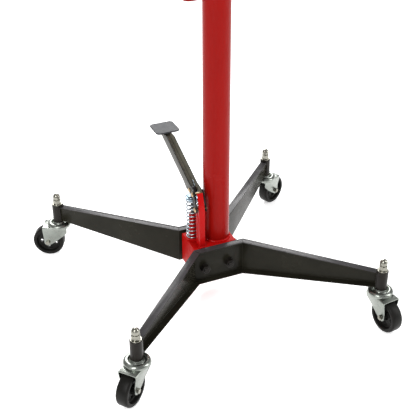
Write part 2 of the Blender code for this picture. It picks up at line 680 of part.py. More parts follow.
def build_pedal(pivot, black, grey, zinc):
    """Channel-section lever arm, open upwards, with the foot plate on its rear end."""
    across = Vector((0, -math.sin(ARM_ANGLE), math.cos(ARM_ANGLE)))
    along = Vector((0, math.cos(ARM_ANGLE), math.sin(ARM_ANGLE)))
    upper = ARM_TOP - LEVER_PIVOT
    front = -0.028
    rear = 0.225

    def point(distance, depth):
        """A point of the side view: distance along the top edge, depth below it."""
        place = upper + distance * along - depth * across
        return (place.y, place.z)

    wall = ([point(rear, 0), point(0.012, 0), (0.010, 0.014), (-0.006, 0.0095)]
            + arc((0, 0), 0.011, 150, 255, 4) + [(0.024, -0.0130), (0.040, -0.0105), (0.056, -0.0080)]
            + [point(0.050, ARM_DEPTH), point(rear + 0.020, ARM_DEPTH)])
    solid = prism(wall, -LEVER_HALF, LEVER_HALF, "X")
    inner = LEVER_HALF - LEVER_WALL
    hollow = [point(rear + 0.03, -0.02), point(front, -0.02), (-0.03, 0.03), (-0.03, -0.03), (0.050, -0.03),
              (0.050, -0.002), point(0.060, ARM_DEPTH - 0.003), point(rear + 0.03, ARM_DEPTH - 0.003)]
    channel = prism(hollow, -inner, inner, "X")
    top_cut = PEDAL_CENTRE.z - PEDAL_SIZE[2] / 2 - LEVER_PIVOT.z - GAP
    above = box((-0.03, 0.03), (0.10, 0.40), (top_cut, top_cut + 0.1))
    pin_hole = about_x(rod(PIN_R + PIN_PLAY, -0.03, 0.03, 12))
    reach = PLUNGER_PIN - LEVER_PIVOT
    ends = [(reach.y + side * 0.0010, reach.z) for side in (-1, 1)]
    slot = prism(capsule(*ends, 0.0052, 0.0052, 4), -0.03, 0.03, "X")
    piece("pedal_lever", cut(solid, channel, above, pin_hole, slot), black, pivot)
    piece("lever_pin", linkage_pin(), zinc, pivot)

    size_x, size_y, thick = PEDAL_SIZE
    plate = prism(rounded_rectangle(size_x, size_y, 0.010), -thick / 2, thick / 2)
    made = piece("pedal_plate", plate, grey, pivot)
    made.location = PEDAL_CENTRE - LEVER_PIVOT


# ---------------------------------------------------------------- assembly

def clear_scene():
    for item in list(bpy.data.objects):
        bpy.data.objects.remove(item, do_unlink=True)


def main():
    clear_scene()
    red = material("red_paint", (0.55, 0.012, 0.010), 0.28, 0.0)
    black = material("black_paint", (0.022, 0.022, 0.020), 0.38, 0.0)
    grey = material("grey_plate", (0.11, 0.11, 0.12), 0.55, 0.0)
    zinc = material("zinc_plate", (0.62, 0.63, 0.62), 0.30, 1.0)
    steel = material("machined_steel", (0.36, 0.36, 0.36), 0.35, 1.0)
    chrome = material("chrome", (0.78, 0.78, 0.80), 0.08, 1.0)
    rubber = material("black_rubber", (0.012, 0.012, 0.012), 0.60, 0.0)

    root = empty("jack", (BASE_X, BASE_Y, 0))
    build_leg_frames(root, black)
    build_base_block(root, red, black)
    build_release_valve(root, zinc)
    build_casters(root, zinc, rubber)
    build_column(root, red, zinc, steel)
    build_grab_handle(root, red)
    slide = build_ram(root, chrome, rubber)
    build_saddle(slide, red, zinc)
    build_pump(root, red, zinc, steel)
    build_bracket(root, red)
    pivot = build_links(root, black, zinc)
    build_pedal(pivot, black, grey, zinc)


main()
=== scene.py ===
"""The looks of the pedal-pumped transmission jack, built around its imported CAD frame.

Metres, +Z up, in the frame's own coordinates. Places come from the boxes and joints of the frame.
The values at the top are details that the CAD solids leave out, such as bevels, welds and threads,
and a few sizes inside the CAD solids that their boxes don't give.
"""

import json
import math

import bmesh
import bpy
from mathutils import Matrix, Vector

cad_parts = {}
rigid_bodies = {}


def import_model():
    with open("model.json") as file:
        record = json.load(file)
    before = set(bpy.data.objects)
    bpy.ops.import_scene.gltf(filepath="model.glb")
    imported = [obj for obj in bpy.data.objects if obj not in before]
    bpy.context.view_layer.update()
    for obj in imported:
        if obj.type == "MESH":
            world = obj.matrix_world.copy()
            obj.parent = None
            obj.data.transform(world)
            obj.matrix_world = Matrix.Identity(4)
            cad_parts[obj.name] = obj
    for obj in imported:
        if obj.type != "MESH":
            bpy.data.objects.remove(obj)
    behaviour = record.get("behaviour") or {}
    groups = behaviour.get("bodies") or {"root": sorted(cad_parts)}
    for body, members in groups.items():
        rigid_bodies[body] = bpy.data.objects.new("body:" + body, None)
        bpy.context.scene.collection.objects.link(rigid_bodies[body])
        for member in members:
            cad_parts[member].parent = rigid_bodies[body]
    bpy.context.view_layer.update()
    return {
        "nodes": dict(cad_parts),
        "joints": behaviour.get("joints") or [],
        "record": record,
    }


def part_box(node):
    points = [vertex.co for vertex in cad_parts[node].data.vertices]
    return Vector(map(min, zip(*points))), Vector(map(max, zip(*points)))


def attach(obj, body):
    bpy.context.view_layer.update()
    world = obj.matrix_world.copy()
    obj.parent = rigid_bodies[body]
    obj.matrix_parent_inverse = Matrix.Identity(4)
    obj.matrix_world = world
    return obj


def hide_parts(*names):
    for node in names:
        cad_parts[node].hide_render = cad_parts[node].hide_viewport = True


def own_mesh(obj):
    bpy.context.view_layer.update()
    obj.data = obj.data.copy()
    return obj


for leftover in list(bpy.data.objects):
    bpy.data.objects.remove(leftover, do_unlink=True)

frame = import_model()
CORNERS = ("front_left", "front_right", "rear_left", "rear_right")
BODIES = frame["record"]["behaviour"]["bodies"]
BODY_OF = {node: body for body, nodes in BODIES.items() for node in nodes}
SLOT_OF = {row["node"]: row["material_slot"] for row in frame["record"]["subparts"]}
JOINTS = {joint["name"]: joint for joint in frame["joints"]}

# Fineness
SIDES = 72                    # of large round pieces
SMALL_SIDES = 40              # of pins, nuts and washers
SHARP_ANGLE = math.radians(32)

# Details, in metres unless a line says otherwise
WELD_R = 0.0026               # radius of a weld bead
WELD_PITCH = 0.0034           # from ripple to ripple along a bead
FRAME_BEVEL = 0.0011          # rounding of the pressed frame's edges
BLOCK_BEVEL = 0.0022
SHEET = 0.003                 # of the leg frames
FLANGE = 0.022                # width of their top flange
WEB_MIDDLE = 0.0035           # from the flange's inner edge to the middle of the web
FOOT_DROP = 0.0035            # from the web's bottom to the lower flange's outer edge, at the bend
LEVER_BEVEL = 0.0007
LEVER_WALL = 0.0027
LEVER_SLOPE = math.radians(22.6)
THREAD_PITCH = 0.00175
SPRING_COILS = 11.5
SPRING_WIRE_R = 0.0019
WHEEL_HOLES = 5
WHEEL_HALF = 0.0175           # half the wheel's width at its hub
FORK_FACE = 0.0213            # from a fork's middle to the outer face of its side, at the axle
STEM_BORE_R = 0.0066          # of the caster sockets
TIE_NUT_ACROSS = 0.024        # across flats
AXLE_NUT_ACROSS = 0.0128
RACE_DEPTH = 0.007            # from a fork's raceway rim down to its floor


# ---------------------------------------------------------------- mesh helpers

def finished(bm):
    """The bmesh as a mesh with outward faces; the bmesh is freed."""
    bmesh.ops.remove_doubles(bm, verts=bm.verts, dist=1e-7)
    bmesh.ops.recalc_face_normals(bm, faces=bm.faces)
    mesh = bpy.data.meshes.new("mesh")
    bm.to_mesh(mesh)
    bm.free()
    return mesh


def moved(mesh, matrix):
    """The same mesh after a transform of its points."""
    mesh.transform(matrix)
    return mesh


def shifted(mesh, offset):
    return moved(mesh, Matrix.Translation(offset))


def along_x(mesh):
    """What lay along Z now lies along X."""
    return moved(mesh, Matrix.Rotation(math.pi / 2, 4, "Y"))


def along_y(mesh):
    """What lay along Z now lies along -Y."""
    return moved(mesh, Matrix.Rotation(math.pi / 2, 4, "X"))


def turned(profile, sides=SIDES, ripple=None):
    """A solid of revolution about Z; ripple(radius, height, angle) gives each point's radius."""
    bm = bmesh.new()
    rings = []
    for radius, height in profile:
        if radius == 0:
            rings.append([bm.verts.new((0, 0, height))] * sides)
            continue
        ring = []
        for step in range(sides):
            angle = math.tau * step / sides
            reach = ripple(radius, height, angle) if ripple else radius
            ring.append(bm.verts.new((reach * math.cos(angle), reach * math.sin(angle), height)))
        rings.append(ring)
    for lower, upper in zip(rings, rings[1:] + rings[:1]):
        for side in range(sides):
            following = (side + 1) % sides
            corners = dict.fromkeys((lower[side], lower[following], upper[following], upper[side]))
            if len(corners) > 2:
                bm.faces.new(list(corners))
    return finished(bm)


def prism(outline, low, high, along="Z"):
    """An outline extruded along an axis. Its pairs are (x, y), (y, z) or (x, z) for Z, X or Y."""
    place = {
        "X": lambda point, level: (level, point[0], point[1]),
        "Y": lambda point, level: (point[0], level, point[1]),
        "Z": lambda point, level: (point[0], point[1], level),
    }[along]
    bm = bmesh.new()
    rings = [[bm.verts.new(place(point, level)) for point in outline] for level in (low, high)]
    bm.faces.new(rings[0])
    bm.faces.new(list(reversed(rings[1])))
    for index in range(len(outline)):
        following = (index + 1) % len(outline)
        bm.faces.new((rings[0][index], rings[1][index], rings[1][following], rings[0][following]))
    return finished(bm)


def arc(centre, radius, start, end, steps):
    """Points on an arc from one angle to another, in degrees, both ends included."""
    angles = [math.radians(start + (end - start) * step / steps) for step in range(steps + 1)]
    return [(centre[0] + radius * math.cos(a), centre[1] + radius * math.sin(a)) for a in angles]


def swept(path, radius, sides=16, closed=False, ripple=0.0, pitch=WELD_PITCH):
    """A round bar along a path; ripple swells it evenly by that share at every pitch, as on a weld."""
    bm = bmesh.new()
    rings = []
    count = len(path)
    normal = None
    travelled = 0.0
    for index, point in enumerate(path):
        before = path[index - 1] if closed or index else point
        after = path[(index + 1) % count] if closed or index < count - 1 else point
        tangent = (after - before).normalized()
        if normal is None:
            normal = tangent.orthogonal().normalized()
        normal = (normal - tangent * normal.dot(tangent)).normalized()
        side = tangent.cross(normal)
        travelled += (point - before).length if index else 0.0
        size = radius * (1 + ripple * math.sin(math.tau * travelled / pitch))
        angles = [math.tau * step / sides for step in range(sides)]
        offsets = [size * (math.cos(angle) * normal + math.sin(angle) * side) for angle in angles]
        rings.append([bm.verts.new(point + offset) for offset in offsets])
    pairs = list(zip(rings, rings[1:]))
    if closed:
        pairs.append((rings[-1], rings[0]))
    else:
        bm.faces.new(rings[0])
        bm.faces.new(list(reversed(rings[-1])))
    for first, second in pairs:
        for step in range(sides):
            following = (step + 1) % sides
            bm.faces.new((first[step], second[step], second[following], first[following]))
    return finished(bm)


def applied(mesh, *modifiers):
    """The mesh after modifiers, each given as (type, settings)."""
    holder = bpy.data.objects.new("holder", mesh)
    bpy.context.scene.collection.objects.link(holder)
    for kind, settings in modifiers:
        modifier = holder.modifiers.new(kind.lower(), kind)
        for name, value in settings.items():
            setattr(modifier, name, value)
    bpy.context.view_layer.update()
    evaluated = holder.evaluated_get(bpy.context.evaluated_depsgraph_get())
    made = bpy.data.meshes.new_from_object(evaluated)
    bpy.data.objects.remove(holder)
    return made


def combined(operation, mesh, *others):
    """The mesh after an exact boolean with each of the others."""
    for other in others:
        tool = bpy.data.objects.new("tool", other)
        bpy.context.scene.collection.objects.link(tool)
        mesh = applied(mesh, ("BOOLEAN", {"operation": operation, "solver": "EXACT", "object": tool}))
        bpy.data.objects.remove(tool)
    return mesh


def joined(mesh, *others):
    return combined("UNION", mesh, *others)


def cut(mesh, *tools):
    return combined("DIFFERENCE", mesh, *tools)


def bevelled(mesh, width, segments=3, angle=30):
    """The mesh with its sharp edges rounded; flat faces are merged first so that only real edges are."""
    bm = bmesh.new()
    bm.from_mesh(mesh)
    bmesh.ops.remove_doubles(bm, verts=bm.verts, dist=1e-6)
    bmesh.ops.dissolve_limit(bm, angle_limit=math.radians(1), verts=bm.verts, edges=bm.edges)
    return applied(finished(bm), ("BEVEL", {"width": width, "segments": segments, "limit_method": "ANGLE",
                                            "angle_limit": math.radians(angle), "use_clamp_overlap": True}))


def hexagon(across, low, high, chamfer=0.0012):
    """A hexagonal nut body about Z with its corners turned off at both ends."""
    corner = across / math.sqrt(3)
    flat = prism(arc((0, 0), corner, 0, 300, 5), low, high)
    reach = corner * 1.02
    ends = turned([(0, low), (across / 2, low), (reach, low + chamfer), (reach, high - chamfer),
                   (across / 2, high), (0, high)], SMALL_SIDES)
    return combined("INTERSECT", flat, ends)


def rod(radius, low, high, sides=SMALL_SIDES):
    """A plain cylinder about Z, for a shank or as the tool that cuts a hole."""
    return turned([(0, low), (radius, low), (radius, high), (0, high)], sides)


def washer(inner, outer, low, high, edge=0.0003):
    """A flat ring about Z with broken edges."""
    return turned([(inner, low), (outer - edge, low), (outer, low + edge), (outer, high - edge),
                   (outer - edge, high), (inner, high)], SMALL_SIDES)


def thread(radius, low, high):
    """A threaded rod end about Z: its outline goes up and down once per turn of the thread."""
    profile = [(0, low)]
    count = max(1, round((high - low) / THREAD_PITCH))
    for turn in range(count):
        start = low + (high - low) * turn / count
        profile += [(radius * 0.93, start), (radius, start + THREAD_PITCH * 0.35),
                    (radius, start + THREAD_PITCH * 0.6)]
    profile += [(radius * 0.85, high), (0, high)]
    return turned(profile, SMALL_SIDES)


def centre_of(node):
    low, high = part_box(node)
    return (low + high) / 2


def size_of(node):
    low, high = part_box(node)
    return high - low


# ---------------------------------------------------------------- materials

def surface(name, colour, metallic, roughness, spread=0.10, cloud=14.0, grain=900.0, depth=0.00003,
            stretch=(1, 1, 1), uneven=0.06, specular=0.5, fine=0.5):
    """A procedural surface: clouds of slightly different colour and roughness under a fine bumpy grain."""
    made = bpy.data.materials.new(name)
    made.use_nodes = True
    tree = made.node_tree
    shader = tree.nodes["Principled BSDF"]
    shader.inputs["Metallic"].default_value = metallic
    shader.inputs["Specular IOR Level"].default_value = specular
    place = tree.nodes.new("ShaderNodeTexCoord")
    mapping = tree.nodes.new("ShaderNodeMapping")
    mapping.inputs["Scale"].default_value = stretch
    tree.links.new(place.outputs["Object"], mapping.inputs["Vector"])

    clouds = tree.nodes.new("ShaderNodeTexNoise")
    clouds.inputs["Scale"].default_value = cloud
    clouds.inputs["Detail"].default_value = 6
    clouds.inputs["Roughness"].default_value = fine
    tree.links.new(mapping.outputs["Vector"], clouds.inputs["Vector"])
    tones = tree.nodes.new("ShaderNodeValToRGB")
    tones.color_ramp.elements[0].position = 0.30
    tones.color_ramp.elements[1].position = 0.70
    tones.color_ramp.elements[0].color = [value * (1 - spread) for value in colour] + [1]
    tones.color_ramp.elements[1].color = [min(1, value * (1 + spread)) for value in colour] + [1]
    tree.links.new(clouds.outputs["Fac"], tones.inputs["Fac"])
    tree.links.new(tones.outputs["Color"], shader.inputs["Base Color"])

    gloss = tree.nodes.new("ShaderNodeMapRange")
    gloss.inputs["From Min"].default_value = 0.3
    gloss.inputs["From Max"].default_value = 0.7
    gloss.inputs["To Min"].default_value = max(0.02, roughness - uneven)
    gloss.inputs["To Max"].default_value = roughness + uneven
    tree.links.new(clouds.outputs["Fac"], gloss.inputs["Value"])
    tree.links.new(gloss.outputs["Result"], shader.inputs["Roughness"])

    speckle = tree.nodes.new("ShaderNodeTexNoise")
    speckle.inputs["Scale"].default_value = grain
    speckle.inputs["Detail"].default_value = 3
    tree.links.new(mapping.outputs["Vector"], speckle.inputs["Vector"])
    bump = tree.nodes.new("ShaderNodeBump")
    bump.inputs["Strength"].default_value = 1.0
    bump.inputs["Distance"].default_value = depth
    tree.links.new(speckle.outputs["Fac"], bump.inputs["Height"])
    tree.links.new(bump.outputs["Normal"], shader.inputs["Normal"])
    return made


RED = surface("red_enamel", (0.255, 0.0045, 0.003), 0.0, 0.24, 0.04, 9, 420, 0.00002, specular=0.08)
BRIGHT_RED = surface("red_enamel_plates", (0.40, 0.004, 0.004), 0.0, 0.22, 0.05, 16, 420, 0.00002,
                     specular=0.10)
BLOCK_RED = surface("red_enamel_block", (0.38, 0.004, 0.003), 0.0, 0.30, 0.05, 16, 420, 0.00002,
                    specular=0.02)
BLACK = surface("black_enamel", (0.015, 0.014, 0.0095), 0.0, 0.23, 0.18, 18, 520, 0.00003,
                uneven=0.06, specular=0.09)
# Painted sheen: a lighter copy of the black enamel for the upper faces of the top flanges, standing in for
# the light they catch from above.
PAINTED_SHEEN_BLACK = surface("black_enamel_painted_sheen", (0.042, 0.040, 0.042), 0.0, 0.26, 0.15, 18, 520,
                      0.00003, uneven=0.06, specular=0.09)
SOCKET_BLACK = surface("socket_enamel", (0.012, 0.010, 0.008), 0.0, 0.32, 0.25, 40, 600, 0.00004,
                       specular=0.14)
OLIVE = surface("lever_enamel", (0.038, 0.036, 0.027), 0.0, 0.38, 0.20, 30, 700, 0.00004, specular=0.25)
# Painted light: a lighter copy of the lever enamel for the channel's inner walls and floor, standing in for
# light that the walls keep out.
PAINTED_LIGHT_OLIVE = surface("lever_enamel_painted_light", (0.20, 0.19, 0.15), 0.0, 0.42, 0.20, 30, 700,
                       0.00004, specular=0.3)
# Painted shade: a darker copy of the lever enamel for the channel's rims.
PAINTED_SHADE_RIM_BLACK = surface("lever_enamel_painted_shade_rim", (0.010, 0.009, 0.007), 0.0, 0.40, 0.20, 30, 700, 0.00003,
                    specular=0.1)
TREAD_GREY = surface("pedal_coat", (0.048, 0.050, 0.055), 0.0, 0.55, 0.12, 60, 1500, 0.00012, specular=0.2)
ZINC = surface("zinc_plate", (0.265, 0.283, 0.258), 1.0, 0.30, 0.12, 45, 900, 0.00003, uneven=0.10)
NUT_ZINC = surface("zinc_nuts", (0.27, 0.265, 0.23), 1.0, 0.26, 0.16, 90, 1200, 0.00003, uneven=0.08)
SPRING_ZINC = surface("zinc_wire", (0.32, 0.36, 0.39), 1.0, 0.22, 0.10, 120, 1500, 0.00002)
BLUE_ZINC = surface("blue_zinc", (0.36, 0.47, 0.56), 1.0, 0.30, 0.10, 90, 1200, 0.00003)
TAN_ZINC = surface("yellow_zinc", (0.45, 0.33, 0.20), 1.0, 0.33, 0.18, 110, 1200, 0.00004)
DARK_STEEL = surface("oiled_steel", (0.055, 0.056, 0.055), 1.0, 0.42, 0.20, 60, 700, 0.00003)
STEEL = surface("machined_steel", (0.22, 0.22, 0.22), 1.0, 0.30, 0.15, 60, 700, 0.00003, stretch=(1, 1, 9))
CHROME = surface("hard_chrome", (0.55, 0.55, 0.57), 1.0, 0.07, 0.03, 20, 900, 0.000004, uneven=0.02)
WHEEL = surface("wheel_black", (0.0085, 0.0082, 0.0072), 0.0, 0.42, 0.25, 60, 900, 0.00006, specular=0.12)
RUBBER = surface("seal_rubber", (0.012, 0.012, 0.012), 0.0, 0.60, 0.20, 60, 900, 0.00005, specular=0.2)


# ---------------------------------------------------------------- pieces

def smooth(mesh):
    """Smooth shading that keeps the sharp edges."""
    mesh.shade_smooth()
    mesh.set_sharp_from_angle(angle=SHARP_ANGLE)
    return mesh


def piece(name, mesh, body, material, slot, *nodes):
    """A shown piece that rides on a body and stands for the CAD nodes."""
    made = bpy.data.objects.new(name, smooth(mesh))
    bpy.context.scene.collection.objects.link(made)
    made.data.materials.clear()
    made.data.materials.append(material)
    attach(made, body)
    if nodes:
        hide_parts(*nodes)
    return made


def stand_in(node, mesh, material):
    """A finer piece for one CAD node, on the node's own body."""
    return piece(f"{node}_fine", mesh, BODY_OF[node], material, SLOT_OF[node], node)


def rounded(node, width, material, segments=3):
    """The node's own shape with rounded edges."""
    return stand_in(node, bevelled(frame["nodes"][node].data.copy(), width, segments), material)


def keep(node, material):
    """The CAD node itself, with a better material."""
    for holder in frame["nodes"][node].material_slots:
        holder.material = material


def bead(name, points, body, material, slot, closed=False, radius=WELD_R):
    """A weld bead along a line of points."""
    return piece(name, swept(points, radius, 10, closed, 0.16), body, material, slot)


# ---------------------------------------------------------------- leg frames and base

def build_frames():
    """Channels and legs with sockets and welds; the upper faces of the top flanges get a lighter copy of the
    black enamel, a painted sheen.
    """
    for node in [f"{name}_channel" for name in ("front", "rear")] + [f"leg_{corner}" for corner in CORNERS]:
        pressed = rounded(node, FRAME_BEVEL, BLACK)
        pressed.data.materials.append(PAINTED_SHEEN_BLACK)
        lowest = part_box(node)[1].z - 0.020
        # Painted sheen: faces that look up near the top of each piece take the lighter copy of the enamel.
        for face in pressed.data.polygons:
            face.material_index = int(face.normal.z > 0.85 and face.center.z > lowest)
    for corner in CORNERS:
        build_socket(corner)
        build_bend_weld(corner)


def build_socket(corner):
    """The caster's socket tube and the bead that joins it to its leg."""
    node = f"socket_{corner}"
    low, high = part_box(node)
    centre = centre_of(node)
    outer = (high.x - low.x) / 2
    inner = STEM_BORE_R
    edge = 0.0010
    tube = turned([(inner, low.z), (outer - edge, low.z), (outer, low.z + edge), (outer, high.z - edge),
                   (outer - edge, high.z), (inner, high.z)])
    stand_in(node, shifted(tube, (centre.x, centre.y, 0)), SOCKET_BLACK)

    leg_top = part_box(f"leg_{corner}")[1].z
    inward = math.atan2(-centre.y, -centre.x)
    spread = math.radians(38)
    top = min(leg_top, high.z) - 0.0045
    around = [inward - spread + 2 * spread * step / 24 for step in range(25)]
    reach = outer + 0.0004
    lines = {"top": [Vector((centre.x + reach * math.cos(a), centre.y + reach * math.sin(a), top))
                     for a in around]}
    for name, angle in (("left", inward + spread), ("right", inward - spread)):
        foot = low.z + 0.008
        lines[name] = [Vector((centre.x + reach * math.cos(angle), centre.y + reach * math.sin(angle),
                               top + (foot - top) * step / 20)) for step in range(21)]
    for name, points in lines.items():
        bead(f"socket_weld_{name}_{corner}", points, "base", SOCKET_BLACK, SLOT_OF[node], radius=0.0019)


def build_bend_weld(corner):
    """The bead round the section where a leg meets the middle channel, centred in the sheet."""
    end = -1 if corner.endswith("left") else 1
    name = corner.split("_")[0]
    outward = -1 if name == "front" else 1
    low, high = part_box(f"{name}_channel")
    inner_x = high.x if end > 0 else low.x
    inner_y = high.y if outward < 0 else low.y

    def seam(out, height):
        """A point of the mitred joint at a distance outwards from the frame's inner edge."""
        return Vector((inner_x - end * out * math.tan(math.radians(22.5)), inner_y + outward * out, height))

    corners = (seam(FLANGE - 0.0006, high.z - SHEET / 2), seam(WEB_MIDDLE, high.z - SHEET / 2),
               seam(WEB_MIDDLE, low.z + FOOT_DROP + SHEET / 2), seam(FLANGE - 0.0006, low.z + SHEET / 2))
    points = []
    for first, last in zip(corners, corners[1:]):
        steps = round((last - first).length / 0.0012)
        points += [first.lerp(last, step / steps) for step in range(steps)]
    points.append(corners[-1])
    made = swept(points, 0.00185, 12, False, 0.05)
    piece(f"bend_weld_{corner}", made, "base", BLACK, SLOT_OF[f"{name}_channel"])


def build_block():
    """The red base block, with its tie bolts, their nuts and the release valve."""
    rounded("base_block", BLOCK_BEVEL, BLOCK_RED, 4)
    for side in ("left", "right"):
        build_tie(side)

    node = "release_valve"
    low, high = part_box(node)
    centre = centre_of(node)
    radius = (high.z - low.z) / 2
    head = high.x - 0.015

    def knurl(reach, height, angle):
        """Flutes round the grip of the knob."""
        gripped = reach > radius * 0.95 and head < height + 0.002
        return reach - (0.0006 * (1 + math.cos(24 * angle)) if gripped else 0)

    profile = [(0, low.x), (0.005, low.x), (0.005, head - 0.0097), (0.008, head - 0.0097),
               (0.008, head - 0.003), (radius - 0.001, head - 0.001), (radius, head),
               (radius, high.x - 0.0035), (radius - 0.0006, high.x - 0.0020), (radius - 0.0025, high.x),
               (0.004, high.x), (0.0035, high.x - 0.0015), (0, high.x - 0.0015)]
    stand_in(node, shifted(along_x(turned(profile, 96, knurl)), (0, centre.y, centre.z)), ZINC)


def build_tie(side):
    """One tie bolt through both frames: head at the rear, washer and nut at the front."""
    low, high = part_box(f"tie_bolt_{side}")
    centre = centre_of(f"tie_bolt_{side}")
    nut_low, nut_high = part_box(f"tie_nut_{side}")
    ring_r = (nut_high.z - nut_low.z) / 2
    place = Matrix.Translation((centre.x, 0, centre.z)) @ Matrix.Rotation(-math.pi / 2, 4, "X")
    head_start = high.y - 0.010
    shank = 0.0079
    bore = shank + 0.0003
    bolt = joined(thread(shank, low.y, nut_high.y - 0.001),
                  rod(shank, nut_high.y - 0.002, head_start + 0.002),
                  hexagon(TIE_NUT_ACROSS, head_start, high.y))
    stand_in(f"tie_bolt_{side}", moved(bolt, place), SOCKET_BLACK)
    ring = washer(bore, ring_r, nut_high.y - 0.0018, nut_high.y)
    lock = washer(bore, 0.0122, nut_high.y - 0.0038, nut_high.y - 0.0016)
    nut = cut(hexagon(TIE_NUT_ACROSS, nut_low.y, nut_high.y - 0.0036),
              rod(bore, nut_low.y - 0.01, nut_high.y + 0.01))
    stand_in(f"tie_nut_{side}", moved(joined(ring, lock, nut), place), SOCKET_BLACK)


# ---------------------------------------------------------------- casters

def heading_of(corner):
    """The direction in which a caster trails and how far, from its two joints."""
    offset = Vector(JOINTS[f"spin_{corner}"]["pos_m"]) - Vector(JOINTS[f"swivel_{corner}"]["pos_m"])
    return math.atan2(offset.y, offset.x), Vector((offset.x, offset.y)).length


def fork_fine(trail, wheel_r, plate_low, race_top):
    """Pressed fork about its swivel axis, trailing along X: folded plate, raceway and axle holes."""
    high = plate_low + 0.003
    knee, shoulder = 0.066, plate_low - 0.004
    outer = ([(-0.021, 0.030), (-0.021, knee), (-0.0270, shoulder)]
             + arc((-0.0240, high - 0.003), 0.003, 180, 90, 4) + arc((0.0240, high - 0.003), 0.003, 90, 0, 4)
             + [(0.0270, shoulder), (0.021, knee), (0.021, 0.030)])
    inner = [(0.0185, 0.030), (0.0185, knee), (0.0245, shoulder), (0.0225, plate_low),
             (-0.0225, plate_low), (-0.0245, shoulder), (-0.0185, knee), (-0.0185, 0.030)]
    folded = prism(outer + inner, -0.028, 0.052, "X")
    side = ([(-0.027, high + 0.02), (-0.027, plate_low - 0.010), (-0.0250, 0.0860), (-0.0165, 0.0765),
             (-0.0030, 0.0640), (0.0155, 0.0490)] + arc((trail, wheel_r), 0.0118, 225, 360, 14)
            + [(0.0500, plate_low - 0.008), (0.0485, high + 0.02)])
    plates = bevelled(combined("INTERSECT", folded, prism(side, -0.04, 0.04, "Y")), 0.0005, 2)
    floor = race_top - RACE_DEPTH
    raceway = turned([(0, plate_low + 0.001), (0.0325, plate_low + 0.001), (0.0350, plate_low + 0.0022),
                      (0.0362, plate_low + 0.0045), (0.0362, floor - 0.0006), (0.0352, floor + 0.0024),
                      (0.0324, floor + 0.0050), (0.0290, race_top - 0.0004), (0.0270, race_top),
                      (0.0245, race_top - 0.0004),
                      (0.0233, race_top - 0.0016), (0.0229, floor), (0, floor)], 96)
    bore = rod(0.0069, 0.08, 0.13)
    axle_hole = rod(0.005, -0.04, 0.04)
    return cut(joined(plates, raceway), bore, shifted(along_y(axle_hole), (trail, 0, wheel_r)))


def wheel_fine(radius, half):
    """Moulded wheel about its centre, axle along Y: rounded tread, dished web, hub and round holes."""
    side = [(0.0052, -half), (0.0108, -half), (0.0118, -half + 0.0008), (0.0130, -0.0062), (0.0145, -0.0050),
            (0.0325, -0.0050), (0.0347, -0.0064), (0.0370, -half + 0.0016), (0.0382, -half + 0.0006),
            (0.0425, -half + 0.0002), (0.0453, -half + 0.0010), (0.0474, -half + 0.0030),
            (radius, -half + 0.0058)]
    profile = side + [(radius, 0)] + [(reach, -height) for reach, height in reversed(side)]
    wheel = turned(profile, 96)
    holes = []
    for index in range(WHEEL_HOLES):
        angle = math.tau * (index + 0.875) / WHEEL_HOLES
        hole = rod(0.0056, -0.02, 0.02, 28)
        holes.append(shifted(hole, (0.0240 * math.cos(angle), 0.0240 * math.sin(angle), 0)))
    return along_y(cut(wheel, *holes))


def axle_fine(face):
    """Axle bolt along Y: dome washer, hex head and a threaded end with a lock nut."""
    shank = rod(0.0046, -face - 0.003, face + 0.002)
    end = thread(0.0044, face + 0.001, face + 0.0075)
    head = hexagon(AXLE_NUT_ACROSS, -face - 0.0055, -face - 0.0008, 0.0009)
    nut = hexagon(AXLE_NUT_ACROSS, face + 0.0008, face + 0.0062, 0.0009)
    rings = [washer(0.004, 0.0072, -face - 0.0010, -face), washer(0.004, 0.0072, face, face + 0.0010)]
    return along_y(joined(shank, end, head, nut, *rings))


def stem_nut_fine(low, high):
    """Flat washer, split washer and domed nut about Z, from the socket's top."""
    flat = washer(0.0061, 0.0150, low, low + 0.0019)
    split = washer(0.0061, 0.0118, low + 0.0017, low + 0.0043)
    body = hexagon(0.0215, low + 0.0041, low + 0.0165, 0.0014)
    neck = [(0, low + 0.0155), (0.0090, low + 0.0155), (0.0090, low + 0.0185), (0.0112, low + 0.0200),
            (0.0114, low + 0.0225)]
    crown_foot = low + 0.0240
    scale = (high - crown_foot) / 0.0114
    crown = [(x if x > 1e-6 else 0, crown_foot + (z - crown_foot) * scale)
             for x, z in arc((0, crown_foot), 0.0114, 8, 90, 12)]
    dome = turned(neck + crown, SMALL_SIDES)
    bore = rod(0.0061, low - 0.01, low + 0.020)
    return cut(joined(flat, split, body, dome), bore)


def stem_fine(node, race_floor):
    """Stem about Z with the upper race and ball cover above the fork and the rivet head below it."""
    low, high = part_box(node)
    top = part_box(node.replace("stem", "socket"))[0].z - 0.0003
    plate = race_floor - 0.009
    profile = [(0, low.z), (0.0085, low.z), (0.0103, low.z + 0.0010), (0.0110, low.z + 0.0030),
               (0.0110, plate - 0.0003),
               (0.0063, plate - 0.0003), (0.0063, race_floor + 0.0003), (0.0222, race_floor + 0.0003),
               (0.0222, race_floor + 0.0022), (0.0208, race_floor + 0.0036), (0.0188, race_floor + 0.0044),
               (0.0172, top - 0.0022), (0.0166, top), (0.006, top), (0.006, high.z - 0.001), (0.005, high.z),
               (0, high.z)]
    return turned(profile, SMALL_SIDES)


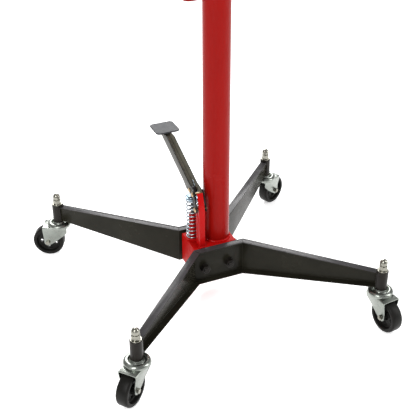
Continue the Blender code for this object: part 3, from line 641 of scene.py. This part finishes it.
def build_casters():
    """Four swivel casters: everything that turns with a fork is placed by that fork's joints."""
    for corner in CORNERS:
        heading, trail = heading_of(corner)
        pivot = Vector(JOINTS[f"swivel_{corner}"]["pos_m"])
        hub = Vector(JOINTS[f"spin_{corner}"]["pos_m"])
        upright = Matrix.Translation((pivot.x, pivot.y, 0))
        swivelled = upright @ Matrix.Rotation(heading, 4, "Z")
        rolling = Matrix.Translation(hub) @ Matrix.Rotation(heading, 4, "Z")

        race_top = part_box(f"fork_{corner}")[1].z
        plate_low = race_top - 0.0160
        stand_in(f"fork_{corner}", moved(fork_fine(trail, hub.z, plate_low, race_top), swivelled), ZINC)
        stand_in(f"stem_{corner}", moved(stem_fine(f"stem_{corner}", race_top - RACE_DEPTH), upright), ZINC)
        low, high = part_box(f"stem_nut_{corner}")
        stand_in(f"stem_nut_{corner}", moved(stem_nut_fine(low.z, high.z), upright), NUT_ZINC)
        radius = size_of(f"wheel_{corner}").z / 2
        stand_in(f"wheel_{corner}", moved(wheel_fine(radius, WHEEL_HALF), rolling), WHEEL)
        stand_in(f"axle_{corner}", moved(axle_fine(FORK_FACE), rolling), NUT_ZINC)


# ---------------------------------------------------------------- column, ram and saddle

def build_column():
    """Column tube with its weld, the gland nut, the plug and the grab handle."""
    low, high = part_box("column_tube")
    centre = centre_of("column_tube")
    axis = (centre.x, centre.y, 0)
    outer = (high.x - low.x) / 2
    inner = outer - 0.004
    edge = 0.0008
    rows = [low.z + (high.z - low.z) * step / 12 for step in range(1, 12)]
    tube = turned([(inner, low.z), (outer, low.z)] + [(outer, row) for row in rows]
                  + [(outer, high.z - edge), (outer - edge, high.z), (inner, high.z)], 128)
    plug_low, plug_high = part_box("filler_plug")
    plug = centre_of("filler_plug")
    hole = moved(rod(0.0054, 0.02, 0.05), Matrix.Rotation(-math.pi / 2, 4, "X"))
    tube = cut(tube, shifted(hole, (0, 0, plug.z)))
    stand_in("column_tube", shifted(tube, axis), RED)

    seam_r = outer + 0.0012
    angles = [math.tau * step / 96 for step in range(96)]
    ring = [Vector((centre.x + seam_r * math.cos(a), centre.y + seam_r * math.sin(a), low.z + 0.0012))
            for a in angles]
    bead("column_weld", ring, "base", BRIGHT_RED, SLOT_OF["column_tube"], True, 0.0034)

    build_gland(axis)
    seat = plug_low.y - centre.y
    end = plug_high.y - centre.y
    cap = joined(rod(0.005, seat, end - 0.004), washer(0.004, 0.009, end - 0.0077, end - 0.0055),
                 hexagon(0.013, end - 0.006, end, 0.0008))
    cap = moved(cap, Matrix.Rotation(-math.pi / 2, 4, "X"))
    stand_in("filler_plug", shifted(cap, (centre.x, centre.y, plug.z)), ZINC)
    keep("lift_cylinder", STEEL)
    build_grab_handle(centre)


def build_gland(axis):
    """Gland nut on top of the column: fluted rim, chamfered shoulder and a wiper groove."""
    low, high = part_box("gland_nut")
    bore = 0.0183
    rim = (high.x - low.x) / 2
    skirt = rim - 0.0073
    seat = high.z - 0.024

    def flutes(reach, _height, angle):
        """Shallow flutes round the rim for a hook spanner."""
        return reach - (0.0009 * max(0.0, math.cos(20 * angle)) if reach > rim - 0.0003 else 0)

    profile = [(bore, low.z), (skirt, low.z), (skirt, seat), (rim - 0.0008, seat), (rim, seat + 0.0008),
               (rim, seat + 0.0165), (rim - 0.0012, seat + 0.0180), (rim - 0.0035, seat + 0.0218),
               (0.0250, high.z),
               (0.0215, high.z), (0.0208, high.z - 0.0012), (bore, high.z - 0.0012)]
    stand_in("gland_nut", shifted(turned(profile, 160, flutes), axis), ZINC)


def build_grab_handle(centre):
    """The bent grab bar and the two rings of weld where it meets the column."""
    low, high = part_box("grab_handle")
    radius = (high.y - low.y) / 2
    bend = 0.030
    left = low.x + radius - centre.x
    bottom, top = low.z + radius, high.z - radius
    column_r = size_of("column_tube").x / 2
    root = -column_r + 0.010
    path = [(root, bottom), (left + bend * 1.6, bottom)]
    path += arc((left + bend, bottom + bend), bend, 270, 180, 16)
    path += arc((left + bend, top - bend), bend, 180, 90, 16)
    path += [(left + bend * 1.6, top), (root, top)]
    bar = swept([Vector((x, 0, z)) for x, z in path], radius, 28)
    clear = rod(column_r + 0.0002, bottom - 0.05, top + 0.05, 128)
    stand_in("grab_handle", shifted(cut(bar, clear), (centre.x, centre.y, 0)), RED)
    for name, height in (("lower", bottom), ("upper", top)):
        points = []
        for step in range(40):
            angle = math.tau * step / 40
            y = (radius + 0.0006) * math.cos(angle)
            x = -math.sqrt((column_r + 0.0008) ** 2 - y * y)
            points.append(Vector((centre.x + x, centre.y + y, height + (radius + 0.0006) * math.sin(angle))))
        bead(f"grab_weld_{name}", points, "base", RED, SLOT_OF["grab_handle"], True, 0.0020)


def build_ram():
    """Chromed ram with its piston; the seal stays the CAD solid."""
    low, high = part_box("lift_ram")
    centre = centre_of("lift_ram")
    piston = (high.x - low.x) / 2
    bar, stub, groove = 0.018, 0.012, 0.0195
    shoulder = high.z - 0.030
    profile = [(0, low.z), (piston - 0.0006, low.z), (piston, low.z + 0.0006), (piston, low.z + 0.012),
               (groove, low.z + 0.012), (groove, low.z + 0.022), (piston, low.z + 0.022),
               (piston, low.z + 0.034),
               (bar, low.z + 0.034), (bar, (low.z + shoulder) / 2), (bar, shoulder - 0.0012),
               (bar - 0.0012, shoulder),
               (stub, shoulder), (stub, high.z - 0.001), (stub - 0.001, high.z), (0, high.z)]
    stand_in("lift_ram", shifted(turned(profile, 96), (centre.x, centre.y, 0)), CHROME)
    keep("piston_seal", RUBBER)


def build_saddle():
    """Swivelling fork, its tilt pin and the tray."""
    tilt = Vector(JOINTS["saddle_tilt"]["pos_m"])
    low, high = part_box("saddle_fork")
    ear_in, ear_out = 0.0205, min((high.x - low.x) / 2, 0.0285)
    cup = turned([(0, low.z), (0.0235, low.z), (0.0245, low.z + 0.0008), (0.0296, low.z + 0.0060),
                  (0.0302, low.z + 0.0080), (0.0302, low.z + 0.0325), (0.0288, low.z + 0.0340),
                  (0, low.z + 0.0340)], 96)
    ear = [(-0.014, low.z + 0.020), (0.014, low.z + 0.020)] + arc((0, tilt.z), 0.013, 0, 180, 24)
    ears = [bevelled(prism(ear, side * ear_in, side * ear_out, "X"), 0.0008) for side in (-1, 1)]
    pin_hole = shifted(along_x(rod(0.0063, -0.05, 0.05)), (0, 0, tilt.z))
    socket = rod(0.0123, low.z - 0.01, low.z + 0.0303)
    made = cut(joined(cup, *ears), pin_hole, socket)
    stand_in("saddle_fork", shifted(made, (tilt.x, tilt.y, 0)), BRIGHT_RED)

    pin_low, pin_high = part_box("saddle_pin")
    left, right = pin_low.x - tilt.x, pin_high.x - tilt.x
    pin = turned([(0, left), (0.0075, left), (0.0088, left + 0.0010), (0.0090, left + 0.0022),
                  (0.0090, left + 0.0055), (0.0060, left + 0.0055), (0.0060, right - 0.0012), (0.0050, right),
                  (0, right)], SMALL_SIDES)
    stand_in("saddle_pin", shifted(along_x(pin), tilt), NUT_ZINC)
    rounded("saddle_tray", 0.0010, BRIGHT_RED)


# ---------------------------------------------------------------- pump and pedal linkage

def build_pump():
    """Pump body, plunger, spring and spring cup."""
    low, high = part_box("pump_cylinder")
    centre = centre_of("pump_cylinder")
    axis = (centre.x, centre.y, 0)
    flange = (high.x - low.x) / 2
    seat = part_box("return_spring")[0].z - 0.0003
    barrel, bore = 0.0125, 0.0066
    body = turned([(0, low.z), (flange, low.z), (flange, seat - 0.0008), (flange - 0.0008, seat),
                   (barrel, seat), (barrel, high.z - 0.0012), (barrel - 0.0012, high.z), (bore, high.z),
                   (bore, low.z + 0.016),
                   (0, low.z + 0.016)])
    stand_in("pump_cylinder", shifted(body, axis), BRIGHT_RED)

    pin = centre_of("plunger_pin")
    rod_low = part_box("pump_plunger")[0].z
    cup_low, cup_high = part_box("spring_cup")
    shoulder = cup_high.z + 0.0003
    tang = [(-0.009, shoulder), (0.009, shoulder)] + arc((0, pin.z), 0.009, 0, 180, 24)
    lever_x = JOINTS["pedal_swing"]["pos_m"][0]
    flat = bevelled(prism(tang, lever_x - 0.0065 - centre.x, lever_x + 0.0065 - centre.x, "X"), 0.0006)
    shank = turned([(0, rod_low), (0.005, rod_low), (0.006, rod_low + 0.001), (0.006, shoulder + 0.004),
                    (0, shoulder + 0.004)], SMALL_SIDES)
    eye = along_x(rod(0.0045, -0.03, 0.03))
    stand_in("pump_plunger", shifted(cut(joined(shank, flat), shifted(eye, (0, 0, pin.z))), axis), DARK_STEEL)

    cup_r = (cup_high.x - cup_low.x) / 2
    base = cup_low.z
    cup = turned([(0.0066, base), (cup_r - 0.0004, base), (cup_r, base + 0.0005), (cup_r, base + 0.0022),
                  (cup_r - 0.0012, base + 0.0034), (0.0160, cup_high.z), (0.0066, cup_high.z)])
    stand_in("spring_cup", shifted(cup, axis), BLUE_ZINC)
    build_spring(centre)


def build_spring(centre):
    """Helical compression spring with closed ends."""
    low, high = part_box("return_spring")
    wire = SPRING_WIRE_R
    radius = (high.y - low.y) / 2 - wire
    closed, per_turn = 0.85, 36
    rise = 2 * wire + 0.0003
    start, stop = low.z + wire, high.z - wire
    path = []
    for step in range(int(SPRING_COILS * per_turn) + 1):
        turn = step / per_turn
        left = SPRING_COILS - turn
        lead = rise * (closed - 0.15) / closed
        if turn < closed:
            height = start + rise * max(turn - 0.15, 0) / closed
        elif left < closed:
            height = stop - rise * max(left - 0.15, 0) / closed
        else:
            share = (turn - closed) / (SPRING_COILS - 2 * closed)
            height = start + lead + (stop - start - 2 * lead) * share
        angle = math.tau * turn
        path.append(Vector((centre.x + radius * math.cos(angle), centre.y + radius * math.sin(angle),
                            height)))
    spring = stand_in("return_spring", swept(path, wire, 14), SPRING_ZINC)
    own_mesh(spring)


def headed_pin(node, shank):
    """Clevis pin along X: domed head at the left, and at the right an end with a washer and a chamfer."""
    low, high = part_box(node)
    centre = centre_of(node)
    left, right = low.x, high.x
    head = (high.z - low.z) / 2
    profile = [(0, left), (head * 0.45, left + 0.0003), (head * 0.80, left + 0.0011), (head, left + 0.0026),
               (head, left + 0.0036), (shank, left + 0.0036), (shank, right - 0.0031),
               (0.0062, right - 0.0031),
               (0.0062, right - 0.0017), (shank + 0.0006, right - 0.0015), (shank * 0.9, right), (0, right)]
    stand_in(node, shifted(along_x(turned(profile, SMALL_SIDES)), (0, centre.y, centre.z)), TAN_ZINC)


def build_linkage():
    """Bracket, links, pins, lever and foot plate."""
    rounded("pump_bracket", 0.0012, BRIGHT_RED)
    for side in ("left", "right"):
        rounded(f"link_{side}", 0.0007, SOCKET_BLACK)
    for node in ("link_pin", "lever_pin", "plunger_pin"):
        headed_pin(node, 0.0042)
    build_lever()
    build_lever_screws()

    low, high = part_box("pump_bracket")
    height = low.z + 0.0008
    around = [(low.x, high.y - 0.022), (low.x, low.y), (high.x, low.y), (high.x, high.y - 0.022)]
    points = []
    for (x0, y0), (x1, y1) in zip(around, around[1:]):
        points += [Vector((x0 + (x1 - x0) * step / 12, y0 + (y1 - y0) * step / 12, height))
                   for step in range(12)]
    bead("bracket_weld", points, "base", BRIGHT_RED, SLOT_OF["pump_bracket"], radius=0.0022)

    low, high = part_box("pedal_plate")
    corner = 0.011
    half_x, half_y = (high.x - low.x) / 2, (high.y - low.y) / 2
    centre = centre_of("pedal_plate")
    outline = []
    for sign_x, sign_y, start in ((1, 1, 0), (-1, 1, 90), (-1, -1, 180), (1, -1, 270)):
        middle = (sign_x * (half_x - corner), sign_y * (half_y - corner))
        outline += arc(middle, corner, start, start + 90, 12)
    plate = bevelled(prism(outline, low.z, high.z), 0.0014, 4)
    stand_in("pedal_plate", shifted(plate, (centre.x, centre.y, 0)), TREAD_GREY)


def build_lever():
    """The channel-section lever in one enamel: painted shade darkens its rims and painted light brightens its
    inner faces against the outside.
    """
    lever = rounded("pedal_lever", LEVER_BEVEL, OLIVE)
    lever.data.materials.append(PAINTED_SHADE_RIM_BLACK)
    lever.data.materials.append(PAINTED_LIGHT_OLIVE)
    centre = centre_of("pedal_lever")
    inner = size_of("pedal_lever").x / 2 - LEVER_WALL
    up = Vector((0, -math.sin(LEVER_SLOPE), math.cos(LEVER_SLOPE)))
    for face in lever.data.polygons:
        aside = abs(face.center.x - centre.x)
        # Painted shade: the upward-facing rims take the darker copy of the enamel.
        if face.normal.dot(up) > 0.5 and aside > inner - 0.0006:
            face.material_index = 1
        # Painted light: the inner walls and floor take the lighter copy of the enamel.
        elif aside < inner + 0.0006 and (abs(face.normal.x) > 0.9 or face.normal.dot(up) > 0.9):
            face.material_index = 2


def build_lever_screws():
    """Two small round screw heads on the inner side of the channel's right wall, near its pivot."""
    pivot = Vector(JOINTS["pedal_swing"]["pos_m"])
    wall = size_of("pedal_lever").x / 2 - LEVER_WALL
    along = Vector((0, math.cos(LEVER_SLOPE), math.sin(LEVER_SLOPE)))
    up = Vector((0, -math.sin(LEVER_SLOPE), math.cos(LEVER_SLOPE)))
    for index, (reach, height) in enumerate(((0.0455, -0.0150), (0.0555, -0.0135))):
        spot = pivot + along * reach + up * height
        head = turned([(0, -0.0036), (0.0018, -0.0034), (0.0036, -0.0022), (0.0044, -0.0006),
                       (0.0044, 0.0008), (0, 0.0008)], SMALL_SIDES)
        placed = shifted(along_x(head), spot + Vector((wall, 0, 0)))
        piece(f"lever_screw_{index + 1}", placed, "pedal", SPRING_ZINC, SLOT_OF["lever_pin"])


# ---------------------------------------------------------------- stage

FLOOR_HALF = 30
FLOOR_GLOW = 0.50             # emission that keeps the ground white
SKY_STRENGTH = 0.42           # of the even light from all round
LAMP_TARGET = Vector((0, 0, 0.45))
LAMPS = (                     # name, place, width, height, watts
    ("key", (-2.6, -2.2, 3.0), 1.0, 2.8, 105),
    ("fill", (2.9, -1.7, 2.2), 0.9, 2.8, 75),
    ("back", (0.8, 3.4, 2.7), 3.6, 1.2, 210),
)
CAMERA_AT = (-0.89148, -1.97571, 1.6072)
CAMERA_AZIMUTH = math.radians(-23.889)
CAMERA_ELEVATION = math.radians(31.85)
CAMERA_ROLL = math.radians(-0.11)
LENS_MM = 76.73
LENS_RISE = 0.015625


def build_stage():
    """Plain pale floor, soft lights and the camera."""
    bm = bmesh.new()
    bmesh.ops.create_grid(bm, x_segments=2, y_segments=2, size=FLOOR_HALF)
    floor_mesh = bpy.data.meshes.new("floor")
    bm.to_mesh(floor_mesh)
    bm.free()
    floor = bpy.data.objects.new("floor", floor_mesh)
    bpy.context.scene.collection.objects.link(floor)
    white = surface("floor_white", (0.93, 0.93, 0.93), 0.0, 0.75, 0.01, 2, 300, 0.00001, specular=0.1)
    shader = white.node_tree.nodes["Principled BSDF"]
    shader.inputs["Emission Color"].default_value = (1, 1, 1, 1)
    shader.inputs["Emission Strength"].default_value = FLOOR_GLOW
    floor.data.materials.append(white)

    world = bpy.data.worlds.new("studio")
    world.use_nodes = True
    world.node_tree.nodes["Background"].inputs["Color"].default_value = (1, 1, 1, 1)
    world.node_tree.nodes["Background"].inputs["Strength"].default_value = SKY_STRENGTH
    bpy.context.scene.world = world
    bpy.context.scene.view_settings.view_transform = "Standard"

    for name, spot, wide, tall, power in LAMPS:
        light = bpy.data.lights.new(name, "AREA")
        light.shape = "RECTANGLE"
        light.size, light.size_y = wide, tall
        light.energy = power
        lamp = bpy.data.objects.new(name, light)
        lamp.location = spot
        lamp.rotation_euler = (LAMP_TARGET - Vector(spot)).to_track_quat("-Z", "Y").to_euler()
        bpy.context.scene.collection.objects.link(lamp)

    level = math.cos(CAMERA_ELEVATION)
    forward = Vector((-math.sin(CAMERA_AZIMUTH) * level, math.cos(CAMERA_AZIMUTH) * level,
                      -math.sin(CAMERA_ELEVATION)))
    lens = bpy.data.cameras.new("camera")
    lens.sensor_width = 36
    lens.lens = LENS_MM
    lens.shift_y = LENS_RISE
    lens.clip_end = 60
    camera = bpy.data.objects.new("camera", lens)
    camera.location = CAMERA_AT
    turn = forward.to_track_quat("-Z", "Y").to_matrix() @ Matrix.Rotation(CAMERA_ROLL, 3, "Z")
    camera.rotation_euler = turn.to_euler()
    bpy.context.scene.collection.objects.link(camera)
    bpy.context.scene.camera = camera


build_frames()
build_block()
build_casters()
build_column()
build_ram()
build_saddle()
build_pump()
build_linkage()
build_stage()
